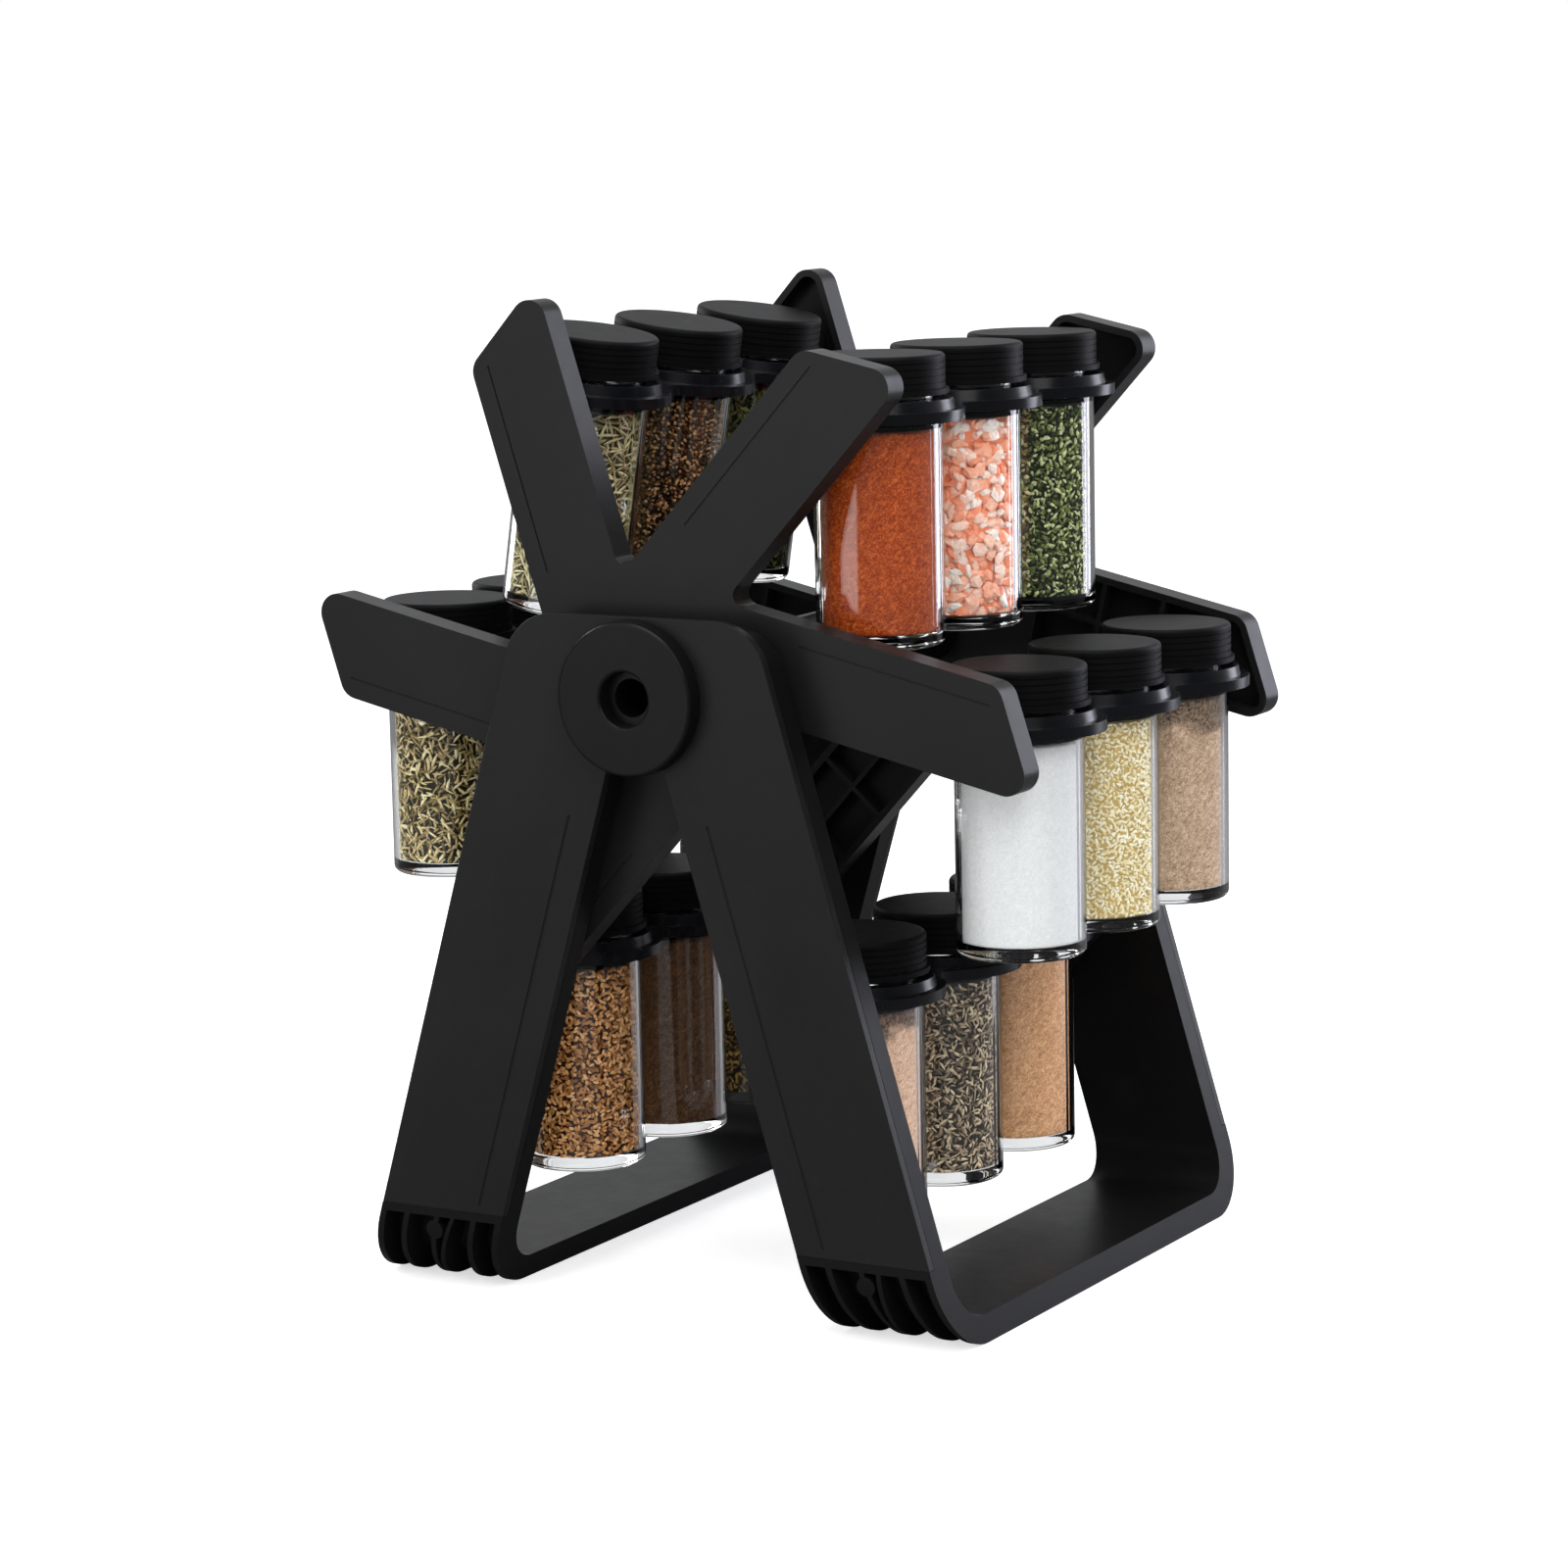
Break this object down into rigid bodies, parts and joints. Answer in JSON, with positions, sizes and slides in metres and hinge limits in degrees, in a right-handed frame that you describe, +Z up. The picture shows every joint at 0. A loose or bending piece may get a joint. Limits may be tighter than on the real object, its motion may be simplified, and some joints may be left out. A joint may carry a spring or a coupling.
{
  "type": "rotating spice rack",
  "caption": "Spice rack like a Ferris wheel: a spoked wheel on an A-shaped stand carries level trays, each holding a row of glass jars with screw lids.",
  "frame": {"origin": "on the floor midway between the four feet, straight under the wheel's axle", "axes": "+X to the right along the front, +Y from the front to the back along the axle, +Z up"},
  "size_m": [0.2878, 0.246, 0.3457],
  "materials": {
    "cover_plastic": "satin moulded black plastic",
    "foot_plastic": "satin moulded black plastic, ribbed inside",
    "wheel_plastic": "satin moulded black plastic",
    "hub_plastic": "satin moulded black plastic",
    "washer_plastic": "plain pale nylon",
    "holder_plastic": "smooth bluish-black plastic with soft highlights",
    "lid_plastic": "fine matt black plastic",
    "jar_glass": "clear smooth glass, faintly green in the thick base",
    "fill_dried_rosemary": "loose dry dried rosemary, no gloss",
    "fill_cracked_pepper": "loose dry cracked pepper, no gloss",
    "fill_dark_dried_herb": "loose dry dark dried herb, no gloss",
    "fill_paprika_powder": "loose dry paprika powder, no gloss",
    "fill_pink_salt_crystals": "loose dry pink salt crystals, no gloss",
    "fill_green_dried_herb": "loose dry green dried herb, no gloss",
    "fill_white_salt": "loose dry white salt, no gloss",
    "fill_sesame_seeds": "loose dry sesame seeds, no gloss",
    "fill_ground_ginger": "loose dry ground ginger, no gloss",
    "fill_onion_powder": "loose dry onion powder, no gloss",
    "fill_grey_brown_tea_herb": "loose dry grey-brown tea herb, no gloss",
    "fill_ground_cinnamon": "loose dry ground cinnamon, no gloss",
    "fill_golden_brown_seeds": "loose dry golden-brown seeds, no gloss",
    "fill_dark_brown_powder": "loose dry dark brown powder, no gloss",
    "fill_olive_brown_herb": "loose dry olive-brown herb, no gloss",
    "fill_dried_thyme": "loose dry dried thyme, no gloss",
    "fill_ground_nutmeg": "loose dry ground nutmeg, no gloss",
    "fill_fennel_seeds": "loose dry fennel seeds, no gloss"
  },
  "bodies": {
    "stand": {"left_leg_band": "foot_plastic", "right_leg_band": "foot_plastic", "front_cover": "cover_plastic", "rear_cover": "cover_plastic", "front_hub_boss": "hub_plastic", "rear_hub_boss": "hub_plastic", "axle": "hub_plastic", "thrust_washers": "washer_plastic"},
    "wheel": {"front_star": "wheel_plastic", "rear_star": "wheel_plastic", "hub_tube": "hub_plastic"},
    "upper_left_tray": {"upper_left_holder": "holder_plastic", "upper_left_jars": "jar_glass", "upper_left_front_spice": "fill_dried_rosemary", "upper_left_middle_spice": "fill_cracked_pepper", "upper_left_rear_spice": "fill_dark_dried_herb"},
    "upper_right_tray": {"upper_right_holder": "holder_plastic", "upper_right_jars": "jar_glass", "upper_right_front_spice": "fill_paprika_powder", "upper_right_middle_spice": "fill_pink_salt_crystals", "upper_right_rear_spice": "fill_green_dried_herb"},
    "right_tray": {"right_holder": "holder_plastic", "right_jars": "jar_glass", "right_front_spice": "fill_white_salt", "right_middle_spice": "fill_sesame_seeds", "right_rear_spice": "fill_ground_ginger"},
    "lower_right_tray": {"lower_right_holder": "holder_plastic", "lower_right_jars": "jar_glass", "lower_right_front_spice": "fill_onion_powder", "lower_right_middle_spice": "fill_grey_brown_tea_herb", "lower_right_rear_spice": "fill_ground_cinnamon"},
    "lower_left_tray": {"lower_left_holder": "holder_plastic", "lower_left_jars": "jar_glass", "lower_left_front_spice": "fill_golden_brown_seeds", "lower_left_middle_spice": "fill_dark_brown_powder", "lower_left_rear_spice": "fill_olive_brown_herb"},
    "left_tray": {"left_holder": "holder_plastic", "left_jars": "jar_glass", "left_front_spice": "fill_dried_thyme", "left_middle_spice": "fill_ground_nutmeg", "left_rear_spice": "fill_fennel_seeds"},
    "upper_left_front_lid_cap": {"upper_left_front_lid": "lid_plastic"},
    "upper_left_middle_lid_cap": {"upper_left_middle_lid": "lid_plastic"},
    "upper_left_rear_lid_cap": {"upper_left_rear_lid": "lid_plastic"},
    "upper_right_front_lid_cap": {"upper_right_front_lid": "lid_plastic"},
    "upper_right_middle_lid_cap": {"upper_right_middle_lid": "lid_plastic"},
    "upper_right_rear_lid_cap": {"upper_right_rear_lid": "lid_plastic"},
    "right_front_lid_cap": {"right_front_lid": "lid_plastic"},
    "right_middle_lid_cap": {"right_middle_lid": "lid_plastic"},
    "right_rear_lid_cap": {"right_rear_lid": "lid_plastic"},
    "lower_right_front_lid_cap": {"lower_right_front_lid": "lid_plastic"},
    "lower_right_middle_lid_cap": {"lower_right_middle_lid": "lid_plastic"},
    "lower_right_rear_lid_cap": {"lower_right_rear_lid": "lid_plastic"},
    "lower_left_front_lid_cap": {"lower_left_front_lid": "lid_plastic"},
    "lower_left_middle_lid_cap": {"lower_left_middle_lid": "lid_plastic"},
    "lower_left_rear_lid_cap": {"lower_left_rear_lid": "lid_plastic"},
    "left_front_lid_cap": {"left_front_lid": "lid_plastic"},
    "left_middle_lid_cap": {"left_middle_lid": "lid_plastic"},
    "left_rear_lid_cap": {"left_rear_lid": "lid_plastic"}
  },
  "joints": [
    {"name": "wheel_spin", "type": "hinge", "parent": "stand", "child": "wheel", "pos_m": [0, 0, 0.2146], "axis": [0, 1, 0], "continuous": true},
    {"name": "upper_left_tray_swing", "type": "hinge", "parent": "wheel", "child": "upper_left_tray", "pos_m": [-0.05202, 0, 0.31672], "axis": [0, 1, 0], "continuous": true},
    {"name": "upper_right_tray_swing", "type": "hinge", "parent": "wheel", "child": "upper_right_tray", "pos_m": [0.06243, 0, 0.31071], "axis": [0, 1, 0], "continuous": true},
    {"name": "right_tray_swing", "type": "hinge", "parent": "wheel", "child": "right_tray", "pos_m": [0.11445, 0, 0.20859], "axis": [0, 1, 0], "continuous": true},
    {"name": "lower_right_tray_swing", "type": "hinge", "parent": "wheel", "child": "lower_right_tray", "pos_m": [0.05202, 0, 0.11248], "axis": [0, 1, 0], "continuous": true},
    {"name": "lower_left_tray_swing", "type": "hinge", "parent": "wheel", "child": "lower_left_tray", "pos_m": [-0.06243, 0, 0.11849], "axis": [0, 1, 0], "continuous": true},
    {"name": "left_tray_swing", "type": "hinge", "parent": "wheel", "child": "left_tray", "pos_m": [-0.11445, 0, 0.22061], "axis": [0, 1, 0], "continuous": true},
    {"name": "upper_left_front_lid_lift", "type": "slide", "parent": "upper_left_tray", "child": "upper_left_front_lid_cap", "axis": [0.1564, 0, 0.9877], "range_m": [0, 0.013]},
    {"name": "upper_left_middle_lid_lift", "type": "slide", "parent": "upper_left_tray", "child": "upper_left_middle_lid_cap", "axis": [0.1564, 0, 0.9877], "range_m": [0, 0.013]},
    {"name": "upper_left_rear_lid_lift", "type": "slide", "parent": "upper_left_tray", "child": "upper_left_rear_lid_cap", "axis": [0.1564, 0, 0.9877], "range_m": [0, 0.013]},
    {"name": "upper_right_front_lid_lift", "type": "slide", "parent": "upper_right_tray", "child": "upper_right_front_lid_cap", "axis": [0, 0, 1], "range_m": [0, 0.013]},
    {"name": "upper_right_middle_lid_lift", "type": "slide", "parent": "upper_right_tray", "child": "upper_right_middle_lid_cap", "axis": [0, 0, 1], "range_m": [0, 0.013]},
    {"name": "upper_right_rear_lid_lift", "type": "slide", "parent": "upper_right_tray", "child": "upper_right_rear_lid_cap", "axis": [0, 0, 1], "range_m": [0, 0.013]},
    {"name": "right_front_lid_lift", "type": "slide", "parent": "right_tray", "child": "right_front_lid_cap", "axis": [0, 0, 1], "range_m": [0, 0.013]},
    {"name": "right_middle_lid_lift", "type": "slide", "parent": "right_tray", "child": "right_middle_lid_cap", "axis": [0, 0, 1], "range_m": [0, 0.013]},
    {"name": "right_rear_lid_lift", "type": "slide", "parent": "right_tray", "child": "right_rear_lid_cap", "axis": [0, 0, 1], "range_m": [0, 0.013]},
    {"name": "lower_right_front_lid_lift", "type": "slide", "parent": "lower_right_tray", "child": "lower_right_front_lid_cap", "axis": [0, 0, 1], "range_m": [0, 0.013]},
    {"name": "lower_right_middle_lid_lift", "type": "slide", "parent": "lower_right_tray", "child": "lower_right_middle_lid_cap", "axis": [0, 0, 1], "range_m": [0, 0.013]},
    {"name": "lower_right_rear_lid_lift", "type": "slide", "parent": "lower_right_tray", "child": "lower_right_rear_lid_cap", "axis": [0, 0, 1], "range_m": [0, 0.013]},
    {"name": "lower_left_front_lid_lift", "type": "slide", "parent": "lower_left_tray", "child": "lower_left_front_lid_cap", "axis": [0, 0, 1], "range_m": [0, 0.013]},
    {"name": "lower_left_middle_lid_lift", "type": "slide", "parent": "lower_left_tray", "child": "lower_left_middle_lid_cap", "axis": [0, 0, 1], "range_m": [0, 0.013]},
    {"name": "lower_left_rear_lid_lift", "type": "slide", "parent": "lower_left_tray", "child": "lower_left_rear_lid_cap", "axis": [0, 0, 1], "range_m": [0, 0.013]},
    {"name": "left_front_lid_lift", "type": "slide", "parent": "left_tray", "child": "left_front_lid_cap", "axis": [0, 0, 1], "range_m": [0, 0.013]},
    {"name": "left_middle_lid_lift", "type": "slide", "parent": "left_tray", "child": "left_middle_lid_cap", "axis": [0, 0, 1], "range_m": [0, 0.013]},
    {"name": "left_rear_lid_lift", "type": "slide", "parent": "left_tray", "child": "left_rear_lid_cap", "axis": [0, 0, 1], "range_m": [0, 0.013]}
  ],
  "couplings": [
    {"joint": "upper_left_tray_swing", "follows": "wheel_spin", "ratio": -1},
    {"joint": "upper_right_tray_swing", "follows": "wheel_spin", "ratio": -1},
    {"joint": "right_tray_swing", "follows": "wheel_spin", "ratio": -1},
    {"joint": "lower_right_tray_swing", "follows": "wheel_spin", "ratio": -1},
    {"joint": "lower_left_tray_swing", "follows": "wheel_spin", "ratio": -1},
    {"joint": "left_tray_swing", "follows": "wheel_spin", "ratio": -1}
  ]
}
